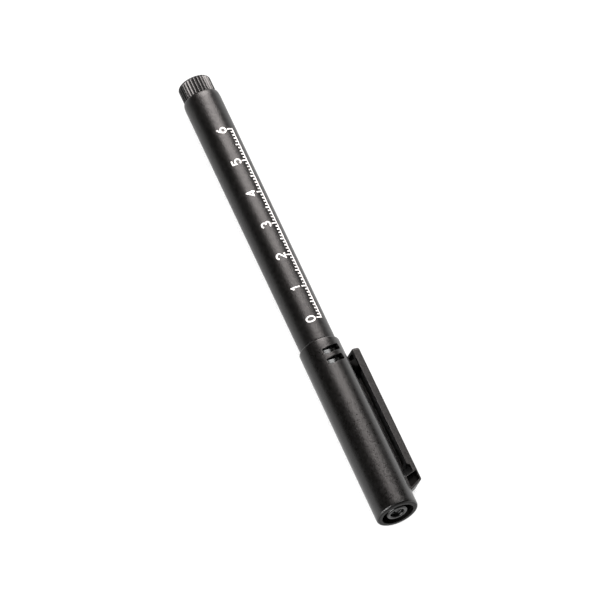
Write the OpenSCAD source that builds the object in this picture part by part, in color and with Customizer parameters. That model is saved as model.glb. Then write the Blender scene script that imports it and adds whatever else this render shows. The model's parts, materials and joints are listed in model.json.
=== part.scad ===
// Permanent marker with a pull-off clip cap, lying on a table on its cap and clip.
// The marker's axis lies along X: the ribbed tail points to +X, the nib and the cap's end to -X.
// The origin is on that axis, in the middle of the barrel's length.

/* [Barrel] */
// Outside diameter of the barrel
barrel_d = 10.1; // [9.6:0.1:10.6]
// Length of the barrel from its front face to its tail lip
barrel_length = 79.2; // [66:0.2:90]
// Thickness of the barrel's wall
barrel_wall = 0.9; // [0.8:0.05:1.1]
// Length of the rounded shoulder at the tail
shoulder_length = 2; // [1.4:0.1:3]
// How far the shoulder draws in, on the radius
shoulder_drop = 0.4; // [0.3:0.05:0.5]
// Bevel round the barrel's front face
front_bevel = 0.15; // [0.1:0.05:0.25]
// Number of guide ribs that hold the reservoir off the wall
guide_count = 6; // [3:1:8]
// Width of a guide rib
guide_width = 0.8; // [0.6:0.1:1.2]
// Distance from a guide rib's ends to the spigots
guide_end_gap = 1; // [0.5:0.5:4]

/* [Tail plug] */
// Length of the ribbed knob behind the barrel
plug_length = 5.1; // [3.6:0.1:6]
// How far the knob lies inside the tail lip, on the radius
plug_step = 0.1; // [0.05:0.05:0.2]
// Bevel at the knob's foot
plug_bevel = 0.2; // [0.1:0.05:0.3]
// Rounding of the knob's end edge
plug_round = 1.25; // [0.6:0.05:1.4]
// Number of flutes round the knob
flute_count = 28; // [20:1:32]
// Radius of a flute
flute_r = 0.28; // [0.2:0.02:0.3]
// Length of the spigot that is pressed into the barrel
plug_spigot_length = 9; // [6:0.5:12]
// Wall of the hollow spigot
plug_spigot_wall = 1; // [0.9:0.05:1.3]
// Diameter of the shallow recess in the knob's end
plug_recess_d = 4.6; // [3:0.2:5.2]
// Depth of that recess
plug_recess_depth = 0.6; // [0.3:0.1:1]

/* [Front section] */
// Width of the ledge on the barrel's front face that stops the cap
stop_ledge = 0.4; // [0.3:0.05:0.45]
// Length of the neck that the cap slides over
neck_length = 13; // [12:0.5:16]
// Height of the click rings on the neck
ring_height = 0.25; // [0.15:0.05:0.3]
// Width of a click ring
ring_width = 1.2; // [0.8:0.1:1.4]
// Bevel at the neck's front edge
neck_bevel = 0.4; // [0.2:0.1:0.6]
// Length of the spigot that is pressed into the barrel
section_spigot_length = 10; // [6:0.5:14]
// How far the cone's foot lies inside the neck, on the radius
cone_step = 0.7; // [0.5:0.1:1]
// Length of the cone between the neck and the seal collar
cone_length = 9.5; // [7:0.5:12]
// Diameter of the collar that seals in the cap liner
collar_d = 4.5; // [4.3:0.1:4.8]
// Length of the seal collar
collar_length = 3.5; // [2.5:0.5:5]
// Length of the tube that grips the nib
tip_length = 4; // [3:0.5:5]
// Wall of that tube at its mouth
tip_wall = 0.35; // [0.3:0.05:0.45]
// Width of the air space round the nib behind its tube
vent_width = 0.5; // [0.3:0.05:0.6]

/* [Ink and nib] */
// Diameter of the ink reservoir's fibre rod
reservoir_d = 6.2; // [5.6:0.1:6.4]
// Thickness of the film wrapped round the rod
film_wall = 0.14; // [0.1:0.01:0.2]
// Depth of the reservoir's front end inside the neck
reservoir_depth = 10.5; // [8:0.5:10.5]
// Diameter of the fibre nib
nib_d = 2.3; // [1.9:0.1:2.5]
// Diameter of the nib's rounded writing point
point_d = 1.1; // [0.8:0.1:1.4]
// Length of the nib's tapered point
point_length = 2.6; // [1.6:0.2:3]
// Length of nib that shows past its tube
nib_reach = 3.5; // [3:0.5:5]
// Length of nib pressed into the reservoir
nib_sink = 3; // [2:0.5:5]

/* [Cap] */
// Length of the cap
cap_length = 53.2; // [50:0.2:62]
// Thickness of the cap's wall at its mouth
cap_wall = 0.96; // [0.84:0.02:1.1]
// Growth of the cap's outside radius from its mouth to its end
cap_flare = 0.2; // [0.1:0.05:0.4]
// How far the mouth's rounded edge draws in, on the radius
mouth_drop = 0.7; // [0.4:0.05:0.7]
// Length of the mouth's rounded edge
mouth_length = 1.1; // [0.6:0.1:1.6]
// Rounding of the end's outer edge
end_round = 1.1; // [0.6:0.1:1.1]
// How far the lip at the open end draws in, on the radius
end_lip = 0.28; // [0.22:0.02:0.34]
// Length of that lip
end_lip_length = 5.5; // [3:0.5:7]

/* [Cap windows] */
// Distance from the mouth to the middle of the first window
window_first = 3.9; // [3.5:0.05:5.2]
// Distance from one window to the next along the cap
window_pitch = 3.1; // [2.8:0.1:3.6]
// Number of windows on each side
window_count = 2; // [1:1:2]
// Length of a window across the cap
window_length = 5.2; // [4:0.2:5.6]
// Width of a window along the cap
window_width = 1.8; // [1.4:0.1:2]
// Slant of a window, its end at the clip nearer the mouth
window_slant = 13; // [0:1:16]
// Angle from the clip to the windows' middle
window_angle = 90; // [70:1:110]
// Rounding of a window's corners
window_round = 0.45; // [0.2:0.05:0.55]

/* [Clip] */
// Width of the clip
clip_width = 4.4; // [3.6:0.1:5]
// Length of the clip's outer face
clip_length = 42.3; // [34:0.1:44]
// Height of the clip's outer face over the cap
clip_rise = 4.3; // [3.8:0.1:4.6]
// Depth of the clip's side walls from its outer face
clip_depth = 2.2; // [1.8:0.05:2.6]
// Thickness of the clip's outer plate
clip_plate = 1.4; // [1:0.1:1.5]
// Thickness of the clip's side walls
clip_side = 0.8; // [0.6:0.1:1]
// Bevel along the clip's outer edges
clip_bevel = 0.25; // [0.1:0.05:0.4]
// Rounding of the tip's corners, seen from outside
tip_round = 1; // [0.6:0.1:1.4]
// Length by which the tip slopes back under its outer face
tip_slope = 0.4; // [0.2:0.1:1.2]
// Length of the thin flexure between the arm and its root
flexure_length = 2; // [1.6:0.1:2.6]
// Lean of the side walls' ends at the flexure
wall_lean = 0.4; // [0.2:0.1:1]
// Length of the root's outer face
root_length = 2.8; // [2:0.1:3.6]
// Length by which the root slopes out to the cap
root_slope = 2.6; // [2:0.1:4]
// Length by which the root's front face leans back under the flexure
root_lean = 1.2; // [0.4:0.1:1.6]
// Wall round the pockets in the root's sides
root_wall = 0.9; // [0.7:0.1:1.3]
// Thickness of the web between those pockets
root_web = 2; // [1.2:0.1:2.8]
// Distance from the root's foot to the cap's end
root_margin = 5.3; // [2.4:0.1:6]
// Distance from the pivot's rounded end to the plate's faces
pivot_shoulder = 0.1; // [0.06:0.02:0.2]
// Radius of the grip nub under the clip's tip
nub_r = 1.5; // [1.4:0.05:1.8]
// Distance of the nub from the clip's tip
nub_back = 4.4; // [3.6:0.2:6]
// Clearance from the nub to the cap
nub_gap = 0.3; // [0.2:0.05:0.5]

/* [Cap liner] */
// Wall of the liner
liner_wall = 0.7; // [0.5:0.05:0.9]
// Diameter of the recess in the liner's closed end
liner_recess_d = 3.8; // [3:0.1:4.2]
// Depth of that recess
liner_recess_depth = 1.2; // [0.8:0.1:2]
// Thickness of the floor behind the recess
liner_floor = 1.2; // [0.8:0.1:2]
// Distance from the cap's end to the liner's end
liner_inset = 0.25; // [0.1:0.05:0.5]
// Diameter of the gate mark in the recess
gate_d = 1; // [0.6:0.1:1.4]
// Height of the gate mark
gate_height = 0.5; // [0.2:0.1:0.7]
// Number of fins that centre the liner in the cap
fin_count = 4; // [3:1:6]
// Thickness of a fin
fin_width = 0.8; // [0.6:0.1:1.2]
// Distance of the fins from the liner's mouth
fin_inset = 1; // [0.5:0.5:6]

/* [Fits] */
// Radial clearance of pressed-in pieces
press_gap = 0.02; // [0.01:0.01:0.03]
// Clearance of seated pieces, of the seal and of the clip's pivot
seat_gap = 0.05; // [0.03:0.01:0.08]
// Radial clearance of the cap on the click rings
slide_gap = 0.08; // [0.04:0.01:0.1]
// Bevel that leads one piece into another
lead_in = 0.3; // [0.2:0.05:0.4]

/* [Hidden] */
$fn = 96;
arc_steps = 8;
over = 1;

// Stations along the axis, with + towards the tail
barrel_front = -barrel_length / 2;
barrel_tail = barrel_length / 2;
plug_end = barrel_tail + plug_length;
plug_spigot_front = barrel_tail - plug_spigot_length;
section_rear = barrel_front + section_spigot_length;
neck_front = barrel_front - neck_length;
collar_rear = neck_front - cone_length;
collar_front = collar_rear - collar_length;
tip_front = collar_front - tip_length;
nib_front = tip_front - nib_reach;
reservoir_front = barrel_front - reservoir_depth;
reservoir_rear = plug_spigot_front - seat_gap;
nib_rear = reservoir_front + nib_sink;
cap_mouth = barrel_front - seat_gap;
cap_end = cap_mouth - cap_length;
window_stations = [for (i = [0 : window_count - 1]) cap_mouth - window_first - i * window_pitch];

// Radii of the barrel and of what is pressed into it
barrel_r = barrel_d / 2;
bore_r = barrel_r - barrel_wall;
spigot_r = bore_r - press_gap;
tail_lip_r = barrel_r - shoulder_drop;
plug_r = tail_lip_r - plug_step;

// Radii of the reservoir and its guides
film_in_r = reservoir_d / 2 + press_gap;
film_out_r = film_in_r + film_wall;
guide_r = film_out_r + seat_gap;

// Radii of the front section and the nib
ring_r = barrel_r - stop_ledge;
neck_r = ring_r - ring_height;
cone_r = neck_r - cone_step;
collar_r = collar_d / 2;
nib_r = nib_d / 2;
point_r = point_d / 2;
grip_r = nib_r + press_gap;
tip_r = grip_r + tip_wall;
tip_foot_r = (tip_r + collar_r) / 2;
vent_r = grip_r + vent_width;
section_lead = min(lead_in, (spigot_r - guide_r) / 2);
point_reach = [nib_r, point_length - point_r];
point_angle = atan2(point_reach[1], point_reach[0]) - acos(point_r / norm(point_reach));

// Radii of the cap, and its radius at a distance from its mouth
cap_bore_r = ring_r + slide_gap;
cap_mouth_r = cap_bore_r + cap_wall;
cap_end_r = cap_mouth_r + cap_flare;
cap_opening_r = cap_bore_r - end_lip;
opening_bevel = end_lip / 3;
function cap_r(distance) = cap_mouth_r + cap_flare * distance / cap_length;

// The clip's own frame: x outwards from its outer face, z towards its tip, with the flexure's middle at 0
clip_tilt = atan(cap_flare / cap_length);
root_top = -flexure_length / 2;
root_end = root_top - root_length;
root_foot = root_end - root_slope;
clip_tip = clip_length + root_end;
pivot_distance = cap_length - root_margin + root_foot;
clip_face_r = cap_r(pivot_distance) + clip_rise;
pivot_x = -clip_plate / 2;
pivot_r = clip_plate / 2 - pivot_shoulder;
pivot_slit = 2 * seat_gap;
nub_low = clip_rise - nub_gap;
root_sink = clip_rise + cap_end_r - sqrt(pow(cap_end_r, 2) - pow(clip_width / 2, 2)) + cap_wall / 4;
pocket_low = clip_rise - root_wall / 3;
function root_front(depth) = root_top - root_lean * (depth - clip_plate) / (clip_rise - clip_plate);
function root_back(depth) = root_end - root_slope * depth / clip_rise;

// Roll that sets the clip's outer corner level with the underside of the cap
clip_corner = [clip_face_r - clip_bevel, clip_width / 2];
clip_roll = asin(cap_end_r / norm(clip_corner)) - atan2(clip_corner[1], clip_corner[0]);

// The liner's stations and radii
liner_bore_r = collar_r + seat_gap;
liner_r = liner_bore_r + liner_wall;
liner_mouth = collar_rear - seat_gap;
liner_end = cap_end + liner_inset;
recess_floor = liner_end + liner_recess_depth;
recess_r = liner_recess_d / 2;
chamber_r = min(liner_bore_r, recess_r);
fin_r = cap_bore_r - press_gap;
fin_front = liner_mouth - fin_inset;
fin_end = cap_end + end_lip_length + seat_gap;

// Points of a circular arc, from one angle to another
function arc(centre, radius, from, to) =
    [for (i = [0 : arc_steps])
        let (angle = from + (to - from) * i / arc_steps)
        centre + radius * [cos(angle), sin(angle)]];

// Points of a quarter ellipse, from its end on the radius to its end along the axis
function quarter(centre, along_r, along_z) =
    [for (i = [0 : arc_steps])
        let (angle = 90 * i / arc_steps)
        centre + [along_r * cos(angle), along_z * sin(angle)]];

// Points of a half-round ring on a neck, towards the nib
function bead(base_r, station) =
    [for (i = [0 : arc_steps])
        let (angle = 180 * i / arc_steps)
        [base_r + ring_height * sin(angle), station + ring_width / 2 * cos(angle)]];

// Lays the marker on its cap and clip, with its axis along X
module place() {
    rotate([0, 90, 0]) rotate([0, 0, clip_roll - 90]) children();
}

// A solid of revolution about the marker's axis, from points of radius and station
module turned(points) {
    rotate_extrude() polygon(points);
}

// A round rod or hole between two stations
module rod(radius, from, to) {
    translate([0, 0, from]) cylinder(r = radius, h = to - from);
}

// Copies children round the marker's axis
module round_axis(count) {
    for (i = [0 : count - 1]) rotate([0, 0, 360 * (i + 0.5) / count]) children();
}

// Moves children from the clip's own frame onto the cap
module on_clip() {
    translate([clip_face_r, 0, cap_mouth - pivot_distance]) rotate([0, -clip_tilt, 0]) children();
}

// Extrudes a side view of the clip, drawn as x and z, to a width across it
module side_view(width, points) {
    rotate([90, 0, 0]) linear_extrude(width, center = true) polygon(points);
}

// A round bar across the clip
module cross_bar(radius, width, x, z) {
    translate([x, 0, z]) rotate([90, 0, 0]) cylinder(r = radius, h = width, center = true);
}

// A rectangle with round corners, in the middle of the plane
module round_rectangle(size, corner_r) {
    inner = size - 2 * [corner_r, corner_r];
    square([size[0], inner[1]], center = true);
    square([inner[0], size[1]], center = true);
    for (x = [-1, 1], y = [-1, 1]) translate([x * inner[0] / 2, y * inner[1] / 2]) circle(r = corner_r);
}

// A slanted window, cut straight out through the cap's wall on the x side
module window_cutter() {
    translate([cap_bore_r / 2, 0, 0]) rotate([window_slant, 0, 0]) rotate([0, 90, 0])
        linear_extrude(cap_end_r) round_rectangle([window_width, window_length], window_round);
}

// Tube with a rounded tail shoulder and inner ribs that guide the reservoir
module barrel() {
    rib_front = section_rear + guide_end_gap;
    rib_rear = plug_spigot_front - guide_end_gap;
    rib_height = bore_r + barrel_wall / 2 - guide_r;
    place() color("#2b2a2b") {
        turned(concat(
            [[bore_r, barrel_front], [barrel_r - front_bevel, barrel_front],
             [barrel_r, barrel_front + front_bevel]],
            quarter([tail_lip_r, barrel_tail - shoulder_length], shoulder_drop, shoulder_length),
            [[bore_r, barrel_tail]]));
        round_axis(guide_count) translate([guide_r, -guide_width / 2, rib_front])
            cube([rib_height, guide_width, rib_rear - rib_front]);
    }
}

// Fluted end knob on a hollow spigot
module tail_plug() {
    hollow_r = spigot_r - plug_spigot_wall;
    place() color("#252425") difference() {
        turned(concat(
            [[hollow_r, plug_spigot_front], [spigot_r - lead_in, plug_spigot_front],
             [spigot_r, plug_spigot_front + lead_in], [spigot_r, barrel_tail],
             [plug_r - plug_bevel, barrel_tail], [plug_r, barrel_tail + plug_bevel]],
            arc([plug_r - plug_round, plug_end - plug_round], plug_round, 0, 90),
            [[0, plug_end], [0, barrel_tail], [hollow_r, barrel_tail]]));
        rod(plug_recess_d / 2, plug_end - plug_recess_depth, plug_end + over);
        round_axis(flute_count) translate([plug_r, 0, 0])
            rod(flute_r, barrel_tail - over, plug_end + over, $fn = 24);
    }
}

// Neck with click rings, cone, seal collar and nib tube in one moulding, pressed into the barrel's front
module front_section() {
    chamber_front = reservoir_front - seat_gap;
    throat = collar_rear - (collar_r - vent_r);
    rings = [for (station = window_stations, point = bead(neck_r, station)) point];
    place() color("#161616") turned(concat(
        [[guide_r, section_rear], [spigot_r - section_lead, section_rear],
         [spigot_r, section_rear - section_lead], [spigot_r, barrel_front], [neck_r, barrel_front]],
        rings,
        [[neck_r, neck_front + neck_bevel], [neck_r - neck_bevel, neck_front], [cone_r, neck_front],
         [collar_r - lead_in, collar_rear], [collar_r, collar_rear - lead_in],
         [collar_r, collar_front + lead_in], [tip_foot_r, collar_front],
         [tip_r, tip_front], [grip_r, tip_front], [grip_r, throat],
         [vent_r, collar_rear], [vent_r, chamber_front], [guide_r, chamber_front]]));
}

// Bonded fibre rod with a tapered, rounded writing point
module nib() {
    place() color("#3a3838") turned(concat(
        [[0, nib_rear], [nib_r - lead_in, nib_rear],
         [nib_r, nib_rear - lead_in], [nib_r, nib_front + point_length]],
        arc([0, nib_front + point_r], point_r, point_angle, -90)));
}

// Ink-soaked fibre rod with a hole for the nib
module ink_reservoir() {
    place() color("#1d1b24") difference() {
        rod(reservoir_d / 2, reservoir_front, reservoir_rear);
        rod(grip_r, reservoir_front - over, nib_rear + seat_gap);
    }
}

// Film wrapped round the reservoir
module reservoir_film() {
    place() color("#c9ccd2") difference() {
        rod(film_out_r, reservoir_front, reservoir_rear);
        rod(film_in_r, reservoir_front - over, reservoir_rear + over);
    }
}

// Pocket that hollows a side of the clip's root, down to the web
module root_pocket() {
    front_wall = root_wall / 2;
    back_wall = root_wall * norm([root_slope, clip_rise]) / clip_rise;
    side_view(clip_width, [
        [-root_wall, root_front(root_wall) - front_wall], [-root_wall, root_back(root_wall) + back_wall],
        [-pocket_low, root_back(pocket_low) + back_wall], [-pocket_low, root_front(pocket_low) - front_wall]]);
}

// The clip's root block, with pockets in its sides and a rounded seat for the arm
module clip_root() {
    bevel_side = clip_bevel * sqrt(2);
    on_clip() difference() {
        side_view(clip_width, [
            [0, -pivot_slit], [0, root_end], [-clip_rise, root_foot], [-root_sink, root_foot],
            [-root_sink, root_front(root_sink)], [-clip_plate, root_top], [-clip_plate, -pivot_slit]]);
        cross_bar(pivot_r + seat_gap, clip_width + over, pivot_x, 0);
        for (side = [-1, 1]) translate([0, side * (clip_width + root_web) / 2, 0]) root_pocket();
        for (side = [-1, 1]) translate([0, side * clip_width / 2, 0]) rotate([0, 0, 45])
            cube([bevel_side, bevel_side, clip_length], center = true);
    }
}

// Outer tube of the cap, open at both ends, with its windows and the clip's root
module cap_shell() {
    lip_front = cap_end + end_lip_length;
    place() color("#2b2a2b") difference() {
        union() {
            turned(concat(
                arc([cap_end_r - end_round, cap_end + end_round], end_round, -90, 0),
                quarter([cap_mouth_r - mouth_drop, cap_mouth - mouth_length], mouth_drop, mouth_length),
                [[cap_bore_r + lead_in / 3, cap_mouth], [cap_bore_r, cap_mouth - lead_in],
                 [cap_bore_r, lip_front], [cap_opening_r, lip_front],
                 [cap_opening_r, cap_end + opening_bevel], [cap_opening_r + opening_bevel, cap_end]]));
            clip_root();
        }
        for (side = [0, 180], station = window_stations)
            rotate([0, 0, side - window_angle]) translate([0, 0, station]) window_cutter();
    }
}

// Inner tube that seals round the collar, closed at its end and centred by fins
module cap_liner() {
    place() color("#1b1b1c") {
        turned([
            [liner_r - lead_in, liner_mouth], [liner_r, liner_mouth - lead_in],
            [liner_r, liner_end + lead_in], [liner_r - lead_in, liner_end], [recess_r, liner_end],
            [recess_r, recess_floor], [gate_d / 2, recess_floor], [gate_d / 2, recess_floor - gate_height],
            [0, recess_floor - gate_height], [0, recess_floor + liner_floor],
            [chamber_r, recess_floor + liner_floor], [liner_bore_r, tip_front],
            [liner_bore_r, liner_mouth - lead_in], [liner_bore_r + lead_in, liner_mouth]]);
        round_axis(fin_count) intersection() {
            translate([liner_r - liner_wall / 2, -fin_width / 2, fin_end])
                cube([fin_r, fin_width, fin_front - fin_end]);
            rod(fin_r, fin_end - over, fin_front + over);
        }
    }
}

// Outline of the clip seen from outside: a long bar whose tip has round corners
module clip_plan() {
    translate([clip_length - clip_tip, 0]) round_rectangle([2 * clip_length, clip_width], tip_round);
}

// Spring arm: a channel with a sloped tip, a grip nub and a rounded end in the root's seat
module clip() {
    half = clip_width / 2;
    inner_width = clip_width - 2 * clip_side;
    tip_low = clip_tip - tip_slope;
    channel_start = flexure_length / 2 + wall_lean + clip_side;
    channel_end = tip_low - clip_side;
    place() color("#1c1b1c") on_clip() intersection() {
        union() {
            difference() {
                side_view(clip_width, [
                    [0, 0], [0, clip_tip - clip_bevel], [-clip_bevel, clip_tip], [-clip_plate / 2, clip_tip],
                    [-clip_depth, tip_low], [-clip_depth, flexure_length / 2 + wall_lean],
                    [-clip_plate, flexure_length / 2], [-clip_plate, 0]]);
                side_view(inner_width, [
                    [-clip_plate, channel_start], [-clip_plate, channel_end],
                    [-clip_rise, channel_end], [-clip_rise, channel_start]]);
            }
            cross_bar(pivot_r, clip_width, pivot_x, 0);
            cross_bar(nub_r, inner_width + clip_side, nub_r - nub_low, clip_tip - nub_back);
        }
        linear_extrude(3 * clip_length, center = true) polygon([
            [-clip_rise, -half], [-clip_bevel, -half], [0, clip_bevel - half],
            [0, half - clip_bevel], [-clip_bevel, half], [-clip_rise, half]]);
        translate([-clip_rise, 0, 0]) rotate([0, 90, 0]) linear_extrude(2 * clip_rise) clip_plan();
    }
}

barrel();
tail_plug();
front_section();
nib();
ink_reservoir();
reservoir_film();
cap_shell();
cap_liner();
clip();
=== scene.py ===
"""Looks of a black permanent marker that lies on a white table, its cap and clip towards the viewer."""
import json
import math

import bmesh
import bpy
import numpy as np
from mathutils import Matrix, Vector


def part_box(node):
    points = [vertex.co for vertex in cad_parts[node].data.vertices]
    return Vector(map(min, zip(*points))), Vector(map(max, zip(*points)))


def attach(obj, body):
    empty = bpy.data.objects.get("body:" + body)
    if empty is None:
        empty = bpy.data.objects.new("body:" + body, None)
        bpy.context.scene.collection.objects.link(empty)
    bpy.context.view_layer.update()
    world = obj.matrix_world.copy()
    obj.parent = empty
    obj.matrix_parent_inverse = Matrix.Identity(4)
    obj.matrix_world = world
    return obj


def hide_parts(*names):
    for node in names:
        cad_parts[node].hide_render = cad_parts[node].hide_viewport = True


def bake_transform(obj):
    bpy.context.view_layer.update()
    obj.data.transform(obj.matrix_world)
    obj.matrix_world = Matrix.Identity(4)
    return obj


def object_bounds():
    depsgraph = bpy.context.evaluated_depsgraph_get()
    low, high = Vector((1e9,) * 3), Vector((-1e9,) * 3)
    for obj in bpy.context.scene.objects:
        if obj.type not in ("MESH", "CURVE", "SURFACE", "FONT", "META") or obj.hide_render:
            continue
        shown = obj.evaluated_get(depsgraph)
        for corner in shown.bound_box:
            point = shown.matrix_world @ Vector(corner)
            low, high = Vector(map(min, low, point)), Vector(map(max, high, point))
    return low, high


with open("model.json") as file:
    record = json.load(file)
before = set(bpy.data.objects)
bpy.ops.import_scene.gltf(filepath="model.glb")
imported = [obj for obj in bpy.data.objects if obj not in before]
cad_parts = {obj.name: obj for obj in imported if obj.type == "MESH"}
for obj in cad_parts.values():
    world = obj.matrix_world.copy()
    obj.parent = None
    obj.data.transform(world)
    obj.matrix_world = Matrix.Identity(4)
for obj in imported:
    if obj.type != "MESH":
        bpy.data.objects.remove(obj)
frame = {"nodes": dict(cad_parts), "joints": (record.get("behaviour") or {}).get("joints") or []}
cad_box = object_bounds()

# Shapes are worked out in millimetres and become metres when a mesh is made.
MM = 0.001
AXIAL = np.array([1.0, 0.0, 0.0])


# The marker's stations and directions, from the frame

def span(node):
    """Lowest and highest station of a node along the marker, in millimetres."""
    low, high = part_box(node)
    return low.x / MM, high.x / MM


def outer_radius(node):
    """Radius of a round node about the marker's axis, in millimetres."""
    low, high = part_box(node)
    return round((high.z - low.z) / 2 / MM, 2)


joint = {made["name"]: made for made in frame["joints"]}
clip_pivot = np.array(joint["clip_flex"]["pos_m"]) / MM
clip_across = np.array(joint["clip_flex"]["axis"])
clip_out = np.cross(clip_across, AXIAL)
clip_out = clip_out * np.sign(clip_out @ clip_pivot)

barrel_front, barrel_tail = span("barrel")
spigot_front, plug_end = span("tail_plug")
tip_front, section_rear = span("front_section")
nib_front, nib_rear = span("nib")
cap_end, cap_mouth = span("cap_shell")
liner_end, liner_mouth = span("cap_liner")
floor_height = cad_box[0].z

# Barrel and tail plug
barrel_r = outer_radius("barrel")
barrel_wall = 0.9
bore_r = barrel_r - barrel_wall
shoulder_length = 2.0
shoulder_drop = 0.4
tail_lip_r = barrel_r - shoulder_drop
guide_r = 3.31
guide_width = 0.8
guide_count = 6
guide_gap = 1.0
guide_sink = 0.3
plug_r = tail_lip_r - 0.1
plug_round = 1.25
spigot_r = bore_r - 0.02
spigot_hollow_r = spigot_r - 1.0
recess_r = 2.3
recess_depth = 0.6
flute_count = 28
flute_depth = 0.34
flute_columns = 16

# Front section and nib
ring_stations = (cap_mouth - 3.9, cap_mouth - 7.0)
ring_r = barrel_r - 0.4
ring_width = 1.2
neck_r = ring_r - 0.25
neck_front = barrel_front - 13.0
cone_r = neck_r - 0.7
collar_r = 2.25
collar_rear = neck_front - 9.5
collar_front = collar_rear - 3.5
tip_foot_r = 1.885
tip_r = 1.52
nib_r = 1.15
grip_r = 1.17
vent_r = 1.67
chamber_front = barrel_front - 10.55
point_r = 0.55
point_length = 2.6

# Cap
cap_bore_r = ring_r + 0.08
cap_mouth_r = cap_bore_r + 0.96
cap_end_r = cap_mouth_r + 0.2
mouth_drop = 0.7
mouth_length = 0.5
end_round = 1.1
# Reach of the cap end's painted shade: the duller finish on its end face.
painted_shade_rim = 0.12
opening_r = cap_bore_r - 0.28
lip_length = 5.5
window_turn = -90.0
window_length = 5.2
window_width = 1.8
window_slant = 13.0
window_corner = 0.45
window_edge = 0.12

# Cap liner
liner_r = 3.0
liner_bore_r = 2.3
liner_recess_r = 1.9
liner_recess_depth = 1.2
liner_floor = 1.2
gate_r = 0.5
gate_height = 0.5
fin_r = cap_bore_r - 0.02
fin_width = 0.8
fin_count = 4
fin_ends = (cap_end + (lip_length + 0.05), liner_mouth - 1.0)

# Clip, in its own frame: outwards from its outer face, across, and towards its tip from the flexure's middle
clip_half = 2.2
clip_plate = 1.4
clip_depth = 2.2
clip_side = 0.8
clip_edge = 0.30
foot_round = 0.16
clip_tip = 38.5
tip_corner = 1.0
tip_slope = 0.4
nose_round = 0.3
flexure_half = 1.0
wall_lean = 0.4
root_end = -3.8
root_foot = -6.4
root_lean = 1.2
root_wall = 0.6
root_web = 2.0
root_knee = 0.35
pocket_rim = 0.16
# The root pocket's painted shade: the pocket share above which faces take the duller finish, and how far in
# from the clip's side.
painted_shade_pocket_share = 0.3
painted_shade_inset = 0.15
clip_rise = 4.3
clip_tilt = math.atan((cap_end_r - cap_mouth_r) / (cap_mouth - cap_end))
nub_r = 1.5
nub_low = 4.0
nub_back = 4.4


# Profiles and grids

def arc(centre, radii, start, stop, steps=8):
    """Points of an elliptic arc: centre + (radius 1 cos a, radius 2 sin a).

    The angle a goes evenly from start to stop, in degrees."""
    angle = np.radians(np.linspace(start, stop, steps + 1))
    return np.array(centre) + np.array(radii) * np.stack([np.cos(angle), np.sin(angle)], axis=1)


def rounded(corners, closed=False, steps=6):
    """A line through corners (a, b, radius), each of which gives way to the arc that touches both its sides.

    With p the corner and d, e the unit directions to its neighbours, the arc starts at p + d * cut and ends
    at p + e * cut, where cut = radius / tan(half the angle between d and e), kept under half of the shorter
    side. One more point on each side of the arc keeps the flats flat. An open line keeps its two ends."""
    corners = np.array(corners, float)
    points, radius = corners[:, :2], corners[:, 2].copy()
    before, after = np.roll(points, 1, axis=0) - points, np.roll(points, -1, axis=0) - points
    sides = np.stack([np.linalg.norm(before, axis=1), np.linalg.norm(after, axis=1)])
    d, e = before / sides[0][:, None], after / sides[1][:, None]
    half = np.arccos(np.clip((d * e).sum(axis=1), -1, 1)) / 2
    cut = np.minimum(radius / np.tan(half), 0.49 * sides.min(axis=0))
    sweep = np.pi - 2 * half
    middle = d + e
    middle = middle / np.maximum(np.linalg.norm(middle, axis=1), 1e-9)[:, None]
    centre = points + middle * (cut / np.cos(half))[:, None]
    start, stop = points + d * cut[:, None] - centre, points + e * cut[:, None] - centre
    t = np.linspace(0, 1, steps + 1)[None, :, None]
    turn = np.maximum(sweep, 1e-6)[:, None, None]
    bow = (np.sin((1 - t) * turn) * start[:, None] + np.sin(t * turn) * stop[:, None]) / np.sin(turn)
    margin = np.minimum(0.4 * cut, 0.49 * sides.min(axis=0) - cut)[:, None, None]
    lead_in = (points + d * cut[:, None])[:, None] + d[:, None] * margin
    lead_out = (points + e * cut[:, None])[:, None] + e[:, None] * margin
    line = np.concatenate([lead_in, centre[:, None] + bow, lead_out], axis=1)
    if closed:
        return line.reshape(-1, 2)
    return np.concatenate([points[:1], line[1:-1].reshape(-1, 2), points[-1:]])


def around(station, radius, angle):
    """Points at a station along the marker, a radius from its axis and an angle in degrees from the clip."""
    station, radius, angle = np.broadcast_arrays(station, radius, np.radians(angle))
    return (station[..., None] * AXIAL + (radius * np.cos(angle))[..., None] * clip_out
            + (radius * np.sin(angle))[..., None] * clip_across)


def turned(profile, angles):
    """A profile of (station, radius) carried round the marker's axis to each of the angles."""
    return around(profile[:, 0][:, None], profile[:, 1][:, None], angles[None, :])


def full_turn(count, start=0.0):
    """Angles of a full turn in even steps."""
    return start + np.arange(count) * 360.0 / count


def quads(shape, wrap=(False, False), start=0, kept=None):
    """Corner numbers of the faces of a grid, which may close on itself either way; kept leaves faces out."""
    rows, columns = shape
    i = np.arange(rows if wrap[0] else rows - 1)[:, None]
    j = np.arange(columns if wrap[1] else columns - 1)[None, :]
    below, right = (i + 1) % rows, (j + 1) % columns
    faces = np.stack(np.broadcast_arrays(i * columns + j, below * columns + j,
                                         below * columns + right, i * columns + right), axis=-1)
    faces = faces.reshape(-1, 4) if kept is None else faces[kept]
    return faces + start


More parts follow.
